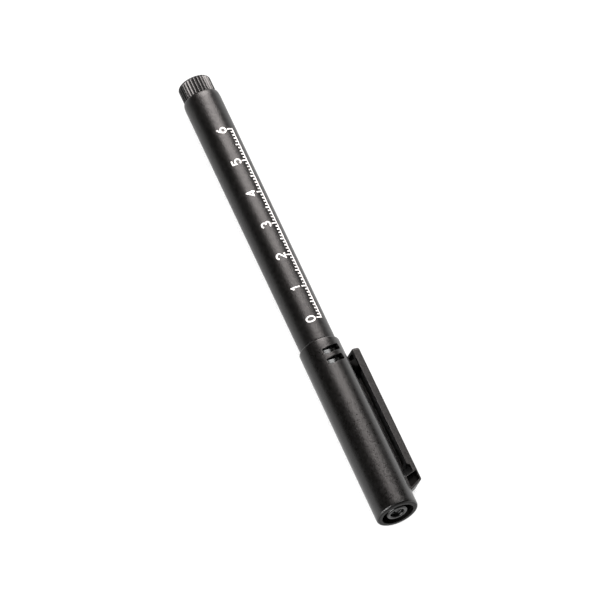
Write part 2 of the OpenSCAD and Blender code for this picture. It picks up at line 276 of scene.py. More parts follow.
class Shell:
    """Grids of points that together make one mesh."""

    def __init__(self):
        self.points, self.faces, self.count = [], [], 0

    def grid(self, points, wrap=(False, False), kept=None):
        """Adds a grid of points, with its faces."""
        self.faces.append(quads(points.shape[:2], wrap, self.count, kept))
        self.points.append(points.reshape(-1, 3))
        self.count += self.points[-1].shape[0]
        return self

    def piece(self, name, finish, sharp=32.0):
        """Makes the object: doubles merged, faces outwards, smooth but for edges sharper than an angle."""
        mesh = bpy.data.meshes.new(name)
        points, faces = np.concatenate(self.points) * MM, np.concatenate(self.faces)
        mesh.from_pydata(points.tolist(), [], faces.tolist())
        shape = bmesh.new()
        shape.from_mesh(mesh)
        bmesh.ops.remove_doubles(shape, verts=shape.verts, dist=0.0002 * MM)
        bmesh.ops.dissolve_degenerate(shape, edges=shape.edges, dist=0.0001 * MM)
        bmesh.ops.recalc_face_normals(shape, faces=shape.faces)
        shape.to_mesh(mesh)
        shape.free()
        mesh.polygons.foreach_set("use_smooth", np.ones(len(mesh.polygons), bool))
        mesh.set_sharp_from_angle(angle=math.radians(sharp))
        mesh.materials.append(finish)
        made = bpy.data.objects.new(name, mesh)
        bpy.context.scene.collection.objects.link(made)
        return made


def second_finish(piece, finish, chosen):
    """Gives a second finish to the faces of a piece whose middles, in millimetres, are chosen."""
    mesh = piece.data
    middle = np.empty(3 * len(mesh.polygons))
    mesh.polygons.foreach_get("center", middle)
    mesh.materials.append(finish)
    mesh.polygons.foreach_set("material_index", chosen(middle.reshape(-1, 3) / MM).astype(np.int32))


def closed_turn(profile, count=192):
    """A shell that is one closed profile carried round the axis."""
    return Shell().grid(turned(profile, full_turn(count)), wrap=(True, True))


# Materials

class Value:
    """A value in a finish's node tree. Sums, differences and products of values add Math nodes."""

    def __init__(self, finish, socket):
        self.finish, self.socket = finish, socket

    def math(self, operation, first, second):
        """Adds a Math node."""
        return self.finish.node("ShaderNodeMath", {0: first, 1: second}, operation=operation)

    def __add__(self, other):
        return self.math("ADD", self, other)

    def __radd__(self, other):
        return self.math("ADD", other, self)

    def __sub__(self, other):
        return self.math("SUBTRACT", self, other)

    def __rsub__(self, other):
        return self.math("SUBTRACT", other, self)

    def __mul__(self, other):
        return self.math("MULTIPLY", self, other)

    def __rmul__(self, other):
        return self.math("MULTIPLY", other, self)


class Nodes:
    """A node tree, and one method that adds any node to it."""

    def __init__(self, tree):
        self.tree = tree

    def feed(self, socket, value):
        """Sets a socket to a number or colour, or links a value to it."""
        if isinstance(value, Value):
            self.tree.links.new(value.socket, socket)
        else:
            socket.default_value = value

    def node(self, kind, inputs=None, output=0, **settings):
        """Adds a node: its settings first, then the values or links of its sockets."""
        made = self.tree.nodes.new(kind)
        for name, value in settings.items():
            setattr(made, name, value)
        for socket, value in (inputs or {}).items():
            self.feed(made.inputs[socket], value)
        return Value(self, made.outputs[output])

    def step(self, value, low, high):
        """0 below low, 1 above high, and smooth between them."""
        return self.node("ShaderNodeMapRange", {"Value": value, "From Min": low, "From Max": high},
                         interpolation_type="SMOOTHSTEP")


class Finish(Nodes):
    """A procedural material with its shader's constants; its textures lie in the piece's own place."""

    def __init__(self, name, **constants):
        self.material = bpy.data.materials.new(name)
        self.material.use_nodes = True
        super().__init__(self.material.node_tree)
        self.shader = self.tree.nodes["Principled BSDF"]
        for socket, value in constants.items():
            self.shader.inputs[socket.replace("_", " ").title().replace("Ior", "IOR")].default_value = value
        self.place = self.node("ShaderNodeTexCoord", output="Object")

    def noise(self, size, detail=2.0, stretch=(1, 1, 1)):
        """Cloudy values about 0.5, with spots of a size in millimetres that may be stretched along axes."""
        place = self.node("ShaderNodeMapping", {"Vector": self.place, "Scale": [1 / s for s in stretch]})
        return self.node("ShaderNodeTexNoise", {"Vector": place, "Scale": 1 / (size * MM), "Detail": detail})

    def blend(self, factor, first, second):
        """A colour between two colours."""
        return self.node("ShaderNodeMix", {0: factor, 6: first, 7: second}, output=2, data_type="RGBA")

    def surface(self, **values):
        """Links values to the shader's own sockets."""
        for socket, value in values.items():
            self.feed(self.shader.inputs[socket.replace("_", " ").title()], value)
        return self

    def relief(self, height, depth, strength=1.0):
        """Raises the surface by a height from 0 to 1 times a depth in millimetres."""
        bump = self.node("ShaderNodeBump", {"Height": height, "Distance": depth * MM, "Strength": strength})
        self.feed(self.shader.inputs["Normal"], bump)
        return self


def grey(level, warm=0.0):
    """A linear colour of one level, a little warmer or cooler."""
    return (level * (1 + warm), level, level * (1 - warm), 1.0)


def satin_black(name, roughness, grain_depth, shine):
    """Spark-eroded black plastic: fine grain with a coarser mottle, and soft cloudy handling marks."""
    finish = Finish(name, ior=1.5, specular_ior_level=shine)
    grain = finish.noise(0.28, detail=3.0)
    mottle = finish.noise(0.80, detail=2.0)
    clouds = finish.noise(7.0, detail=2.0, stretch=(3, 1, 1))
    finish.surface(base_color=finish.blend(clouds, grey(0.0006, 0.15), grey(0.0014, 0.15)),
                   roughness=roughness - 0.19 + 0.08 * clouds + 0.06 * grain + 0.24 * mottle)
    return finish.relief(0.40 * grain + 0.60 * mottle, 2.2 * grain_depth, 0.5).material


def gloss_black(name, roughness, mark_depth=0.006, shine=0.5):
    """Polished black plastic with faint drawn marks along the marker and a slight orange peel."""
    finish = Finish(name, ior=1.5, specular_ior_level=shine)
    peel = finish.noise(1.4, detail=1.0)
    marks = finish.noise(0.12, detail=2.0, stretch=(40, 1, 1))
    finish.surface(base_color=finish.blend(peel, grey(0.0015), grey(0.0030)),
                   roughness=roughness + 0.05 * marks + 0.03 * peel)
    return finish.relief(0.7 * peel + 0.3 * marks, mark_depth, 0.5).material


def knob_black():
    """Black plastic of the fluted plug, a shade greyer than the barrel's and mottled by a fine grain."""
    finish = Finish("knob_black_plastic", ior=1.5, specular_ior_level=0.5)
    grain = finish.noise(0.18, detail=3.0)
    finish.surface(base_color=finish.blend(grain, grey(0.008), grey(0.014)), roughness=0.20 + 0.10 * grain)
    return finish.relief(grain, 0.008, 0.5).material


def fibre(name, dark, light, roughness):
    """Bonded fibres that run along the marker, with pores between them."""
    finish = Finish(name)
    strands = finish.noise(0.07, detail=3.0, stretch=(14, 1, 1))
    soak = finish.noise(1.5, detail=2.0)
    finish.surface(base_color=finish.blend(0.6 * strands + 0.4 * soak, dark, light), roughness=roughness)
    return finish.relief(strands, 0.05, 0.9).material


def wrap_film():
    """Thin milky film with faint creases round the reservoir."""
    finish = Finish("wrap_film", ior=1.5)
    creases = finish.noise(0.9, detail=3.0, stretch=(6, 1, 1))
    finish.surface(base_color=finish.blend(creases, grey(0.45), grey(0.62)), roughness=0.2 + 0.2 * creases)
    return finish.relief(creases, 0.03, 0.6).material


def white_ink():
    """Screen-printed white with small pinholes and a matt, slightly uneven coat."""
    finish = Finish("white_ink", ior=1.45)
    coat = finish.noise(0.35, detail=3.0)
    finish.surface(base_color=finish.blend(finish.step(coat, 0.30, 0.46), grey(0.42), grey(0.80, 0.01)),
                   roughness=0.45 + 0.2 * coat)
    return finish.relief(coat, 0.006, 0.6).material


def table_glow_painted_shade():
    """Matt white light table with a very faint tooth: it glows except where the marker covers it closely, a
    painted shadow.

    The share of open space within a reach sets how brightly it glows, so the painted shadow follows the
    marker; on the clip's side it glows stronger, a painted pool of light."""
    # Painted shadow under the marker: black below the first share of open space, glowing fully above the
    # second.
    painted_shadow_reach, covered, uncovered = 12 * MM, 0.16, 0.36
    # Painted pool of light on the clip's side: a third more glowing beyond the farther distance, none within
    # the nearer.
    painted_light_full_from, painted_light_none_within = -16 * MM, -12 * MM
    finish = Finish("table_glow_painted_shade", roughness=0.9, emission_strength=1.0)
    tooth = finish.noise(2.5, detail=2.0)
    y = finish.node("ShaderNodeSeparateXYZ", {0: finish.place}, output="Y")
    open_share = finish.node("ShaderNodeAmbientOcclusion", {"Distance": painted_shadow_reach}, output="AO", samples=6)
    # Painted light: the table glows 1.3 instead of 1.0 on the clip's side.
    glow_with_painted_light = finish.blend(1.0 - finish.step(y, painted_light_full_from, painted_light_none_within), grey(1.0), grey(1.3))
    # Painted shadow: the glowing falls to black where the marker closely covers the table.
    shown = finish.blend(finish.step(open_share, covered, uncovered), grey(0.0), glow_with_painted_light)
    paint = finish.blend(tooth, grey(0.05), grey(0.07))
    return finish.surface(base_color=paint, emission_color=shown).material


barrel_satin = satin_black("barrel_satin_black", roughness=0.36, grain_depth=0.040, shine=0.45)
cap_satin = satin_black("cap_satin_black", roughness=0.31, grain_depth=0.014, shine=0.5)
# A duller, less shiny copy of the cap's finish: painted shade on the cap's end face, for the shaded table it
# would mirror.
cap_matt_painted_shade = satin_black("cap_matt_black", roughness=0.50, grain_depth=0.015, shine=0.2)
clip_satin = satin_black("clip_gloss_black", roughness=0.42, grain_depth=0.030, shine=0.42)
# A duller, barely shiny copy of the clip's finish: painted shade for the clip's root pocket and its grip nub.
clip_matt_painted_shade = gloss_black("clip_matt_black", roughness=0.80, mark_depth=0.02, shine=0.1)
neck_gloss = gloss_black("neck_gloss_black", roughness=0.16, shine=0.85)
liner_gloss = gloss_black("liner_gloss_black", roughness=0.20, shine=0.45)
knob = knob_black()
nib_felt = fibre("nib_fibre", dark=grey(0.012), light=grey(0.05, 0.05), roughness=0.85)
ink_felt = fibre("ink_fibre", dark=grey(0.006, -0.2), light=grey(0.02, -0.25), roughness=0.7)
film = wrap_film()
ink_print = white_ink()


# Barrel: tube with a rounded shoulder, and guide ribs inside

def bar(corner_low, corner_high, place):
    """A straight bar with rounded long edges: a rounded rectangle carried between its two closed ends.

    Its section is (up, across) and its path the third number; place turns the three into points."""
    (a0, b0, c0), (a1, b1, c1) = corner_low, corner_high
    edge = 0.15 * min(a1 - a0, b1 - b0)
    section = rounded([(a0, b0, edge), (a1, b0, edge), (a1, b1, edge), (a0, b1, edge)], closed=True, steps=3)
    middle = section.mean(axis=0)
    shrink = np.array([0.0, 0.92, 1.0, 1.0, 0.92, 0.0])[:, None, None]
    along = np.array([c0, c0, c0 + edge, c1 - edge, c1, c1])
    ring = middle + shrink * (section - middle)[None]
    return place(ring[..., 0], ring[..., 1], np.broadcast_to(along[:, None], ring.shape[:2]))


def on_axis_frame(angle):
    """Places (up, across, along) on a radius of the marker that is turned by an angle from the clip."""
    up, across = around(0.0, 1.0, angle), around(0.0, 1.0, angle + 90)
    return lambda a, b, c: a[..., None] * up + b[..., None] * across + c[..., None] * AXIAL


def make_barrel():
    """Tube whose tail draws in along a quarter ellipse to the lip that the plug sits on."""
    shoulder_start = barrel_tail - shoulder_length
    front = rounded([(barrel_tail, bore_r, 0), (barrel_front, bore_r, 0.1), (barrel_front, barrel_r, 0.16),
                     (shoulder_start, barrel_r, 0)])
    shoulder = arc((shoulder_start, tail_lip_r), (shoulder_length, barrel_r - tail_lip_r), 90, 0, 24)
    shell = closed_turn(np.concatenate([front[:-1], shoulder]))
    guide_low = (guide_r, -guide_width / 2, section_rear + guide_gap)
    guide_high = (bore_r + guide_sink, guide_width / 2, spigot_front - guide_gap)
    for angle in full_turn(guide_count, 180 / guide_count):
        shell.grid(bar(guide_low, guide_high, on_axis_frame(angle)), wrap=(False, True))
    return shell.piece("barrel_tube", barrel_satin)


# Tail plug: knob with flutes that fade out over its rounded end

def make_plug():
    """Knob of revolution whose radius drops from each rib's middle to the flutes, which fade at its end.

    With a the distance from the rib's middle, the drop is sqrt(c * c + a * a) - c: round on the rib and
    straight down to the flute, where c makes it the flute's depth at half a pitch."""
    profile = rounded([(plug_end - recess_depth, 0, 0), (plug_end - recess_depth, recess_r, 0.2),
                       (plug_end, recess_r, 0.12), (plug_end, plug_r, plug_round),
                       (barrel_tail + 0.02, plug_r, 0.14), (barrel_tail + 0.02, spigot_r, 0.02),
                       (spigot_front, spigot_r, 0.3), (spigot_front, spigot_hollow_r, 0.1),
                       (barrel_tail, spigot_hollow_r, 0.2), (barrel_tail, 0, 0)], steps=8)
    angles = full_turn(flute_columns * flute_count)
    half_pitch = math.pi * plug_r / flute_count
    arm = half_pitch * (1 - np.abs(np.arange(len(angles)) % flute_columns / (flute_columns / 2) - 1))
    bend = (half_pitch ** 2 - flute_depth ** 2) / (2 * flute_depth)
    trough = np.hypot(bend, arm) - bend
    radius = profile[:, 1]
    faded_r = plug_r - 0.55 * plug_round
    fade_length = 0.45 * plug_round
    rise = np.clip((radius - faded_r) / fade_length, 0, 1)
    outside = (profile[:, 0] > barrel_tail + 0.01).astype(float) * np.sqrt(rise)
    depth = outside[:, None] * trough[None, :]
    grid = around(profile[:, 0][:, None], radius[:, None] - depth, angles[None, :])
    return Shell().grid(grid, wrap=(False, True)).piece("tail_knob", knob)


# Front section: neck with click rings, cone, seal collar and nib tube

def bead(station):
    """Click ring on the neck: steep on the barrel's side, with a long ramp down towards the nib."""
    half, rise = ring_width / 2, ring_r - neck_r
    return rounded([(station + half, neck_r, 0), (station + 0.85 * half, ring_r, 0.08),
                    (station - 0.75 * half, ring_r - 0.8 * rise, 0.05), (station - half, neck_r, 0)])


def make_section():
    """Closed profile: out along the neck, over the rings and cone to the nib's tube, and back by the bore."""
    rear = rounded([(chamber_front, guide_r, 0.1), (section_rear, guide_r, 0.1),
                    (section_rear, spigot_r, 0.3), (barrel_front, spigot_r, 0.02),
                    (barrel_front, neck_r, 0.02), (ring_stations[0] + 1, neck_r, 0)])
    front = rounded([(ring_stations[1] - 1, neck_r, 0), (neck_front, neck_r, 0.45),
                     (neck_front, cone_r, 0.25), (collar_rear, collar_r - 0.3, 0.3),
                     (collar_rear - 0.3, collar_r, 0.2), (collar_front, collar_r, 0.3),
                     (collar_front, tip_foot_r, 0.2), (tip_front, tip_r, 0.14), (tip_front, grip_r, 0.08),
                     (collar_rear - 0.58, grip_r, 0.1), (collar_rear, vent_r, 0.1),
                     (chamber_front, vent_r, 0.1), (chamber_front, guide_r, 0)])
    rings = np.concatenate([bead(station) for station in ring_stations])
    profile = np.concatenate([rear[1:], rings, front])
    return closed_turn(profile).piece("neck_section", neck_gloss)


def make_nib():
    """Rod with a cone that runs tangent into a ball point."""
    reach = np.array([point_length - point_r, nib_r])
    lean = math.degrees(math.asin(point_r / np.linalg.norm(reach)) - math.atan2(nib_r, reach[0]))
    ball = arc((nib_front + point_r, 0), (point_r, point_r), 90 - lean, 180, 12)
    shaft = rounded([(nib_rear, 0, 0), (nib_rear, nib_r, 0.3), (nib_front + point_length, nib_r, 0.6),
                     tuple(ball[0]) + (0,)])
    profile = np.concatenate([shaft[:-1], ball])
    return Shell().grid(turned(profile, full_turn(96)), wrap=(False, True)).piece("felt_nib", nib_felt)


# Cap: tapered tube with two slanted windows on each side

def cap_radius(station):
    """Outside radius of the cap's cone at a station."""
    return cap_mouth_r + (cap_end_r - cap_mouth_r) * (cap_mouth - station) / (cap_mouth - cap_end)


WINDOW_STEPS = (44, 14)
CAP_STEPS = 192
window_reach = (ring_stations[0] - ring_stations[1]) / 2


def window_stations():
    """Stations of the cap's grid across both windows, from the mouth's side towards the end."""
    top = ring_stations[0] + window_reach
    return np.linspace(top, top - 4 * window_reach, 2 * WINDOW_STEPS[1] + 1)


def window_border(station, radius):
    """Points round the edge of the patch that holds a window: across, station, and u and v from -1 to 1.

    They run round from the mouth side and lie on the cap's own grid. Across is the wall's radius times the
    sine of the angle from the window's middle."""
    half_turn = WINDOW_STEPS[0] / 2 * 360 / CAP_STEPS
    u = np.linspace(-1, 1, WINDOW_STEPS[0] + 1)
    v = np.linspace(1, -1, WINDOW_STEPS[1] + 1)
    loop_u = np.concatenate([u[:-1], np.ones(len(v) - 1), u[:0:-1], -np.ones(len(v) - 1)])
    loop_v = np.concatenate([np.ones(len(u) - 1), v[:-1], -np.ones(len(u) - 1), v[:0:-1]])
    stations = station + loop_v * window_reach
    return radius(stations) * np.sin(np.radians(loop_u * half_turn)), stations, loop_u, loop_v


def window_outline(u, v, station, grow):
    """The window's rounded, slanted outline, grown by an amount.

    (u, v) runs round a rectangle; the nearest point of the rectangle shrunk by the corner radius is the
    centre of the rounding, and the outline lies the corner radius plus the growth away from it. The slant
    turns the result."""
    half = np.array([window_length, window_width]) / 2
    point = np.stack([u, v], axis=1) * half
    core = np.clip(point, window_corner - half, half - window_corner)
    away = point - core
    away = away / np.linalg.norm(away, axis=1)[:, None]
    outline = core + away * (window_corner + np.asarray(grow)[..., None, None])
    slant = math.radians(window_slant)
    across = outline[..., 0] * math.cos(slant) - outline[..., 1] * math.sin(slant)
    along = outline[..., 0] * math.sin(slant) + outline[..., 1] * math.cos(slant)
    return across, station + along


def window_patch(shell, turn, station):
    """Wall of the cap round one window: outer patch, rounded rim, cut wall, and the bore's patch behind."""
    out, across = around(0.0, 1.0, turn), around(0.0, 1.0, turn + 90)

    def place(t, x, height):
        return x[..., None] * AXIAL + t[..., None] * across + height[..., None] * out

    def over(radius, t):
        return np.sqrt(np.maximum(radius ** 2 - t ** 2, 0))

    def bore(x):
        return np.full_like(x, cap_bore_r)

    rings = []
    t, x, u, v = window_border(station, cap_radius)
    share = np.linspace(1, 0, 9)[:, None] ** 1.4
    rim_t, rim_x = window_outline(u, v, station, window_edge)
    patch_t, patch_x = rim_t + share * (t - rim_t), rim_x + share * (x - rim_x)
    rings.append(place(patch_t, patch_x, over(cap_radius(patch_x), patch_t)))
    bend = np.radians(np.linspace(0, 90, 7)[1:])
    edge_t, edge_x = window_outline(u, v, station, window_edge * (1 - np.sin(bend)))
    drop = (window_edge * (1 - np.cos(bend)))[:, None]
    rings.append(place(edge_t, edge_x, over(cap_radius(edge_x), edge_t) - drop))
    wall_t, wall_x = window_outline(u, v, station, np.zeros(1))
    top = over(cap_radius(wall_x), wall_t) - window_edge
    bottom = over(bore(wall_x), wall_t)
    depth = np.array([0.08, 0.35, 0.65, 0.95, 1.0])[:, None]
    flat = np.ones_like(depth)
    rings.append(place(wall_t * flat, wall_x * flat, top + depth * (bottom - top)))
    t, x = window_border(station, bore)[:2]
    share = np.linspace(0, 1, 7)[1:, None]
    back_t, back_x = wall_t + share * (t - wall_t), wall_x + share * (x - wall_x)
    rings.append(place(back_t, back_x, over(bore(back_x), back_t)))
    shell.grid(np.concatenate(rings), wrap=(False, True))


def make_cap():
    """The tube's closed profile, turned on a grid that leaves the windows' places out; patches fill them."""
    stations = window_stations()
    outer = np.stack([stations, cap_radius(stations)], axis=1)
    inner = np.stack([stations[::-1], np.full(len(stations), cap_bore_r)], axis=1)
    lip_front = cap_end + lip_length
    mouth = np.concatenate([
        rounded([(stations[0], cap_bore_r, 0), (cap_mouth - 0.3, cap_bore_r, 0.2),
                 (cap_mouth, cap_bore_r + 0.1, 0.06), (cap_mouth, cap_mouth_r - mouth_drop, 0)])[1:-1],
        arc((cap_mouth - mouth_length, cap_mouth_r - mouth_drop), (mouth_length, mouth_drop), 0, 90, 14)])
    end = rounded([(stations[-1], cap_radius(stations[-1]), 0), (cap_end, cap_end_r, end_round),
                   (cap_end, opening_r, 0.09), (lip_front, opening_r, 0.08), (lip_front, cap_bore_r, 0.05),
                   (stations[-1], cap_bore_r, 0)], steps=10)[1:-1]
    run = np.linspace(stations[-1], cap_end + 1.6, 24)[1:]
    body = np.stack([run, cap_radius(run)], axis=1)
    profile = np.concatenate([outer, body, end, inner, mouth])
    first = WINDOW_STEPS[0] // 2
    angles = full_turn(CAP_STEPS, window_turn - first * 360 / CAP_STEPS)
    rows, columns = np.arange(len(profile)), np.arange(CAP_STEPS)
    inner_start = len(outer) + len(body) + len(end)
    windowed = (rows < len(outer) - 1) | ((rows >= inner_start) & (rows < inner_start + len(inner) - 1))
    faced = columns % (CAP_STEPS // 2) < WINDOW_STEPS[0]
    kept = ~(windowed[:, None] & faced[None, :])
    shell = Shell().grid(turned(profile, angles), wrap=(True, True), kept=kept)
    for side in (0, 180):
        for station in ring_stations:
            window_patch(shell, window_turn + side, station)
    return shell.piece("cap_tube", cap_satin)


# Cap liner: inner tube closed at its end, with the gate mark in its recess

def make_liner():
    """Profile from the gate mark's middle out over the ring, along the tube to its mouth, and back inside."""
    recess = liner_end + liner_recess_depth
    profile = rounded([(recess - gate_height, 0, 0), (recess - gate_height, gate_r, 0.16),
                       (recess, gate_r, 0.1), (recess, liner_recess_r, 0.25),
                       (liner_end, liner_recess_r, 0.4), (liner_end, liner_r, 0.5),
                       (liner_mouth, liner_r, 0.3), (liner_mouth, liner_bore_r, 0.2),
                       (tip_front, liner_bore_r, 0.3), (recess + liner_floor, liner_recess_r, 0.4),
                       (recess + liner_floor, 0, 0)], steps=8)
    shell = Shell().grid(turned(profile, full_turn(144)), wrap=(False, True))
    fin_low = (liner_r - 0.3, -fin_width / 2, fin_ends[0])
    fin_high = (fin_r - 0.02, fin_width / 2, fin_ends[1])
    for angle in full_turn(fin_count, 180 / fin_count):
        shell.grid(bar(fin_low, fin_high, on_axis_frame(angle)), wrap=(False, True))
    return shell.piece("cap_inner_tube", liner_gloss)


# Clip: one sweep from its root on the cap, through the flexure, along the channel to the sloped tip

# The clip leans towards the cap's mouth by the cap's taper.
lean_out = math.cos(clip_tilt) * clip_out + math.sin(clip_tilt) * AXIAL
lean_along = math.cos(clip_tilt) * AXIAL - math.sin(clip_tilt) * clip_out
clip_origin = clip_pivot + lean_out * clip_plate / 2


def clip_place(outward, across, along):
    """Points from the clip's own frame."""
    return (clip_origin + outward[..., None] * lean_out + across[..., None] * clip_across
            + along[..., None] * lean_along)


def in_pocket(points):
    """Whether points lie in the pocket of the clip's root, at a depth under the clip's side; those faces take
    the duller finish as painted shade.
    """
    arm = points - clip_origin
    sunk = np.abs(arm @ clip_across) < clip_half - painted_shade_inset
    return (pocket(arm @ lean_out, arm @ lean_along) > painted_shade_pocket_share) & sunk


def root_front(depth):
    """Where the root's front face lies along the clip, at a depth under the outer face."""
    return -flexure_half - root_lean * (depth - clip_plate) / (clip_rise - clip_plate)


def root_back(depth):
    """Where the root's slanted end lies along the clip, at a depth under the outer face."""
    return root_end - (root_end - root_foot) * depth / clip_rise


def pocket(outward, along):
    """1 inside the pocket in the root's side, 0 outside it, and smooth over its rim.

    The least distance to the pocket's four straight edges, positive inside, runs through a smooth step."""
    depth = -outward
    back_wall = root_wall * math.hypot(root_end - root_foot, clip_rise) / clip_rise
    from_walls = np.minimum(depth - root_wall, clip_rise - root_wall / 3 - depth)
    from_ends = np.minimum(root_front(depth) - root_wall / 2 - along, along - root_back(depth) - back_wall)
    inside = np.minimum(from_walls, from_ends)
    t = np.clip(inside / pocket_rim + 0.5, 0, 1)
    return t * t * (3 - 2 * t)


def clip_section(along, top, low, floor, half):
    """Sections of the clip, one a row: a bar whose underside may be hollowed to a channel.

    The half section runs from the outer face's middle over its rounded edge, down the side, round the foot
    of the side wall, up inside it and along the channel's floor; the other half is its mirror. Roundings
    shrink with the wall that is left, so the channel can close to a plain bar. The pocket draws the side in
    at the root."""
    edge = np.minimum(clip_edge, 0.45 * np.minimum(top - low, half))
    hollow = np.maximum(floor - low, 0)
    foot = np.minimum(foot_round, np.minimum(0.45 * (top - low), 0.45 * half))
    inner = np.minimum(foot_round, 0.45 * hollow)
    inside = np.maximum(half - clip_side, 0.3 * half)
    quarter = np.radians(np.linspace(0, 90, 6))[None, :]
    sin, cos = np.sin(quarter), np.cos(quarter)

    def col(values):
        return values[:, None]

    side_high, side_low = top - edge - 0.02 * (top - low), low + foot + 0.02 * (top - low)
    side = col(side_high) + np.linspace(0, 1, 48)[None, :] * col(side_low - side_high)
    a = [np.stack([top, top, top], 1),
         col(top) - col(edge) * (1 - cos),
         side,
         col(low) + col(foot) * (1 - sin),
         col(low) + col(inner) * (1 - cos),
         np.stack([low + 0.5 * hollow], 1),
         col(floor) - col(inner) * (1 - sin),
         np.stack([floor, floor], 1)]
    b = [np.stack([0 * half, 0.5 * half, half - 1.4 * edge], 1),
         col(half) - col(edge) * (1 - sin),
         col(half) - (clip_half - root_web / 2) * pocket(side, col(along)),
         col(half) - col(foot) * (1 - cos),
         col(inside) + col(inner) * (1 - sin),
         np.stack([inside], 1),
         col(inside) - col(inner) * (1 - cos),
         np.stack([0.5 * inside, 0 * inside], 1)]
    up, out = np.concatenate(a, axis=1), np.concatenate(b, axis=1)
    return np.concatenate([up, up[:, -2:0:-1]], axis=1), np.concatenate([out, -out[:, -2:0:-1]], axis=1)


def clip_rows():
    """The sweep's rows: station along the clip, outer face, walls' foot, channel's floor and half width."""
    buried = 0.7
    sink = clip_rise + buried
    slope = clip_rise / (root_end - root_foot)
    tip_low = clip_tip - tip_slope
    channel = (flexure_half + wall_lean + clip_side, tip_low - clip_side)
    under = rounded([(root_foot - buried / slope, -sink, 0), (root_front(sink), -sink, 0.1),
                     (-flexure_half, -clip_plate, 0.5), (flexure_half, -clip_plate, 0.3),
                     (flexure_half + wall_lean, -clip_depth, 0.25), (tip_low, -clip_depth, 0.35),
                     (clip_tip, -0.5 * clip_plate, 0)], steps=8)
    fill = np.linspace(channel[0] + 0.5, channel[1] - 0.5, 24)
    lip = np.array([-0.12, 0.0, 0.03, 0.12])
    close = np.concatenate([channel[0] + lip, channel[1] - lip[::-1]])
    corner = clip_tip - tip_corner + tip_corner * np.sin(np.radians(np.linspace(0, 90, 12)))
    top_bend = root_end + np.linspace(-root_knee, root_knee, 9)
    block = np.linspace(root_foot, -flexure_half, 64)
    extra = np.concatenate([fill, close, corner, top_bend, block])
    low_extra = np.interp(extra, under[:, 0], under[:, 1])
    along, low = np.concatenate([under[:, 0], extra]), np.concatenate([under[:, 1], low_extra])
    order = np.lexsort((np.arange(len(along)), along))
    along, low = along[order], low[order]
    knee = np.clip((along - (root_end - root_knee)) / (2 * root_knee), 0, 1)
    ramp = slope * (along - root_end)
    bend = np.where(along > root_end + root_knee, 0.0, -slope * root_knee * (1 - knee) ** 2)
    top = np.where(along < root_end - root_knee, ramp, bend)
    nose = np.clip((along - (clip_tip - nose_round)) / nose_round, 0, 1)
    top = top - nose_round * (1 - np.sqrt(1 - nose ** 2))
    bow = np.clip((along - (clip_tip - tip_corner)) / tip_corner, 0, 1)
    half = clip_half - tip_corner * (1 - np.sqrt(1 - bow ** 2))
    hollow = (along > channel[0]) & (along < channel[1])
    floor = np.where(hollow, np.maximum(low, -clip_plate), low)
    return along, top, low, floor, half


def make_clip():
    """Sweep of the clip's sections, closed at both ends."""
    along, top, low, floor, half = clip_rows()
    up, across = clip_section(along, top, low, floor, half)
    middle = ((top + low) / 2)[[0, -1]]
    ends_up = np.broadcast_to(middle[:, None], (2, up.shape[1]))
    up = np.concatenate([ends_up[:1], up, ends_up[1:]])
    across = np.concatenate([0 * across[:1], across, 0 * across[-1:]])
    along = np.concatenate([along[:1], along, along[-1:]])
    sweep = clip_place(up, across, np.broadcast_to(along[:, None], up.shape))
    return Shell().grid(sweep, wrap=(False, True)).piece("spring_clip", clip_satin)


def make_nub():
    """Grip nub across the clip's channel, like a small barrel: radius nub_r sqrt(cos a) at reach sin a. Its
    duller, barely shiny finish is painted shade.
    """
    turn = np.radians(full_turn(32))
    reach = clip_half - 0.5 * clip_side
    lean = np.radians(np.linspace(-90, 90, 25))[:, None]
    barrel = np.sqrt(np.cos(lean))
    width = reach * np.sin(lean)
    nub_up = nub_r - nub_low + nub_r * barrel * np.cos(turn)
    nub_along = clip_tip - nub_back + nub_r * barrel * np.sin(turn)
    grid = clip_place(nub_up, np.broadcast_to(width, nub_up.shape), nub_along)
    return Shell().grid(grid, wrap=(False, True)).piece("grip_nub", clip_matt_painted_shade)


# Printed centimetre scale along the barrel

print_turn = -84.0
print_start = barrel_tail - 73.0
print_length = 60
print_lift = 0.018
print_line = 0.40
print_base = 1.30
stroke_step = 0.2
tick_reaches = {10: 1.75, 5: 1.35, 1: 0.95}
numeral_size = (1.55, 2.35)
numeral_line = 0.44
numeral_base = print_base - 2.2


def print_stroke(shell, line, width):
    """A printed stroke: a line of points (along, across) with a width, wrapped round the barrel.

    The line gets points at every stroke_step or closer, and each moves half the width to both sides, along
    the mean of the normals before and after it, made longer by one over the cosine of half the bend."""
    line = np.array(line, float)
    walk = np.concatenate([[0], np.cumsum(np.linalg.norm(np.diff(line, axis=0), axis=1))])
    even = np.linspace(0, walk[-1], int(walk[-1] / stroke_step) + 2)
    t = np.unique(np.round(np.concatenate([walk, even]), 4))
    points = np.stack([np.interp(t, walk, line[:, 0]), np.interp(t, walk, line[:, 1])], axis=1)
    ahead = np.diff(points, axis=0)
    normal = np.stack([-ahead[:, 1], ahead[:, 0]], axis=1) / np.linalg.norm(ahead, axis=1)[:, None]
    before, after = np.concatenate([normal[:1], normal]), np.concatenate([normal, normal[-1:]])
    mean = (before + after) / np.maximum(1 + (before * after).sum(axis=1), 0.5)[:, None]
    ribbon = points[None] + width * np.array([-0.5, 0.0, 0.5])[:, None, None] * mean[None]
    turn = print_turn + np.degrees(ribbon[..., 1] / barrel_r)
    shell.grid(around(ribbon[..., 0], barrel_r + print_lift, turn))


